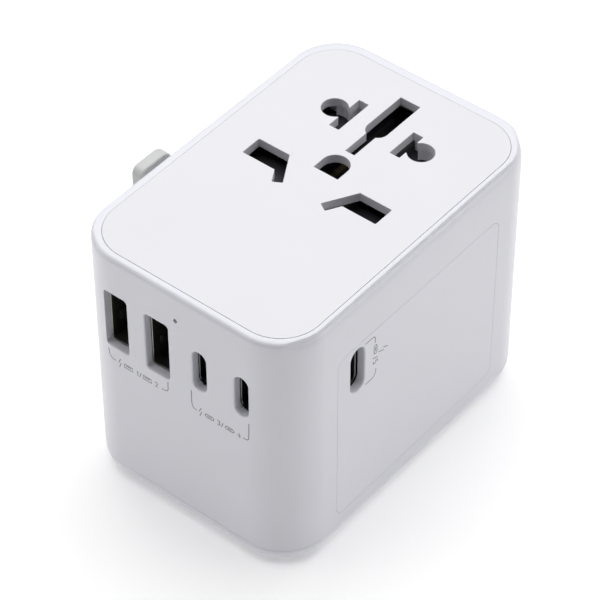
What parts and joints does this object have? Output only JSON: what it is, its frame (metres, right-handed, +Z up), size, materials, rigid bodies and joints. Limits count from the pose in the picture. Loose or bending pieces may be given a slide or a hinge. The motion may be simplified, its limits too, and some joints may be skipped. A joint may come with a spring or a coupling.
{
  "type": "universal travel adapter",
  "caption": "Boxy white travel adapter with a multi-standard socket face, USB ports on the front and side, and plug pins that a side knob pushes out of the base.",
  "frame": {"origin": "middle of the flat base, which is the plug face that the adapter stands on", "axes": "+Z up out of the socket face, -Y out of the face with four USB ports, +X out of the side with one USB port, so the selector knob is on -X"},
  "size_m": [0.0518, 0.0698, 0.0548],
  "materials": {
    "case_white": "white ABS, satin gloss",
    "face_white": "white polycarbonate, matte",
    "knob_grey": "light grey ABS, matte",
    "black_plastic": "black moulded plastic",
    "nickel": "nickel-plated sheet and pins",
    "brass": "brass strip and pins",
    "circuit_board": "green solder mask",
    "coil_tape": "yellow polyester tape",
    "ferrite": "dark ferrite",
    "fuse_ceramic": "white ceramic tube",
    "light_pipe": "clear polycarbonate"
  },
  "bodies": {
    "case": {"main_shell": "case_white", "socket_face_plate": "face_white", "bottom_cover": "case_white", "right_side_panel": "case_white", "base_screw_1": "nickel", "base_screw_2": "nickel", "base_screw_3": "nickel", "base_screw_4": "nickel", "usb_a1_shell": "nickel", "usb_a1_tongue": "black_plastic", "usb_a2_shell": "nickel", "usb_a2_tongue": "black_plastic", "usb_c1_shell": "nickel", "usb_c1_tongue": "black_plastic", "usb_c2_shell": "nickel", "usb_c2_tongue": "black_plastic", "usb_c3_shell": "nickel", "usb_c3_tongue": "black_plastic", "led_lens": "light_pipe", "usb_board": "circuit_board", "power_board": "circuit_board", "transformer": "coil_tape", "capacitor_1": "black_plastic", "capacitor_2": "black_plastic", "choke": "ferrite", "inner_frame": "black_plastic", "contact_block": "black_plastic", "live_contact": "brass", "neutral_contact": "brass", "earth_contact": "brass", "shutter_spring": "nickel"},
    "shutter": {"safety_shutter": "black_plastic"},
    "uk_set": {"uk_carriage": "black_plastic", "uk_live_pin": "brass", "uk_neutral_pin": "brass", "uk_earth_pin": "brass"},
    "eu_set": {"eu_carriage": "black_plastic", "eu_left_pin": "nickel", "eu_right_pin": "nickel"},
    "us_set": {"us_carriage": "black_plastic"},
    "left_blade": {"us_left_blade": "nickel"},
    "right_blade": {"us_right_blade": "nickel"},
    "selector": {"selector_plate": "black_plastic"},
    "slider": {"slider_carrier": "knob_grey", "slider_knob": "knob_grey", "button_spring": "nickel"},
    "button": {"release_button": "knob_grey"},
    "drawer": {"fuse_drawer": "case_white", "fuse": "fuse_ceramic"}
  },
  "joints": [
    {"name": "plug_select", "type": "slide", "parent": "case", "child": "selector", "axis": [0, 1, 0], "range_m": [0, 0.0128]},
    {"name": "knob_push", "type": "slide", "parent": "selector", "child": "slider", "axis": [0, 0, -1], "range_m": [0, 0.023]},
    {"name": "knob_press", "type": "slide", "parent": "slider", "child": "button", "axis": [1, 0, 0], "range_m": [0, 0.0006], "stiffness_N_per_m": 500, "springref_m": -0.0005, "deforming": ["button_spring"]},
    {"name": "uk_pins_slide", "type": "slide", "parent": "case", "child": "uk_set", "axis": [0, 0, -1], "range_m": [0, 0.023]},
    {"name": "eu_pins_slide", "type": "slide", "parent": "case", "child": "eu_set", "axis": [0, 0, -1], "range_m": [0, 0.023]},
    {"name": "us_pins_slide", "type": "slide", "parent": "case", "child": "us_set", "axis": [0, 0, -1], "range_m": [0, 0.023]},
    {"name": "left_blade_twist", "type": "hinge", "parent": "us_set", "child": "left_blade", "pos_m": [-0.00635, 0.00118, 0.0281], "axis": [0, 0, 1], "range_deg": [0, 30]},
    {"name": "right_blade_twist", "type": "hinge", "parent": "us_set", "child": "right_blade", "pos_m": [0.00635, 0.00118, 0.0281], "axis": [0, 0, -1], "range_deg": [0, 30]},
    {"name": "shutter_slide", "type": "slide", "parent": "case", "child": "shutter", "axis": [0, 1, 0], "range_m": [0, 0.009], "stiffness_N_per_m": 60, "springref_m": -0.002, "deforming": ["shutter_spring"]},
    {"name": "fuse_drawer_slide", "type": "slide", "parent": "case", "child": "drawer", "axis": [0, 0, -1], "range_m": [0, 0.012]}
  ],
  "couplings": [
    {"joint": "uk_pins_slide", "follows": "knob_push", "ratio": 1}
  ]
}
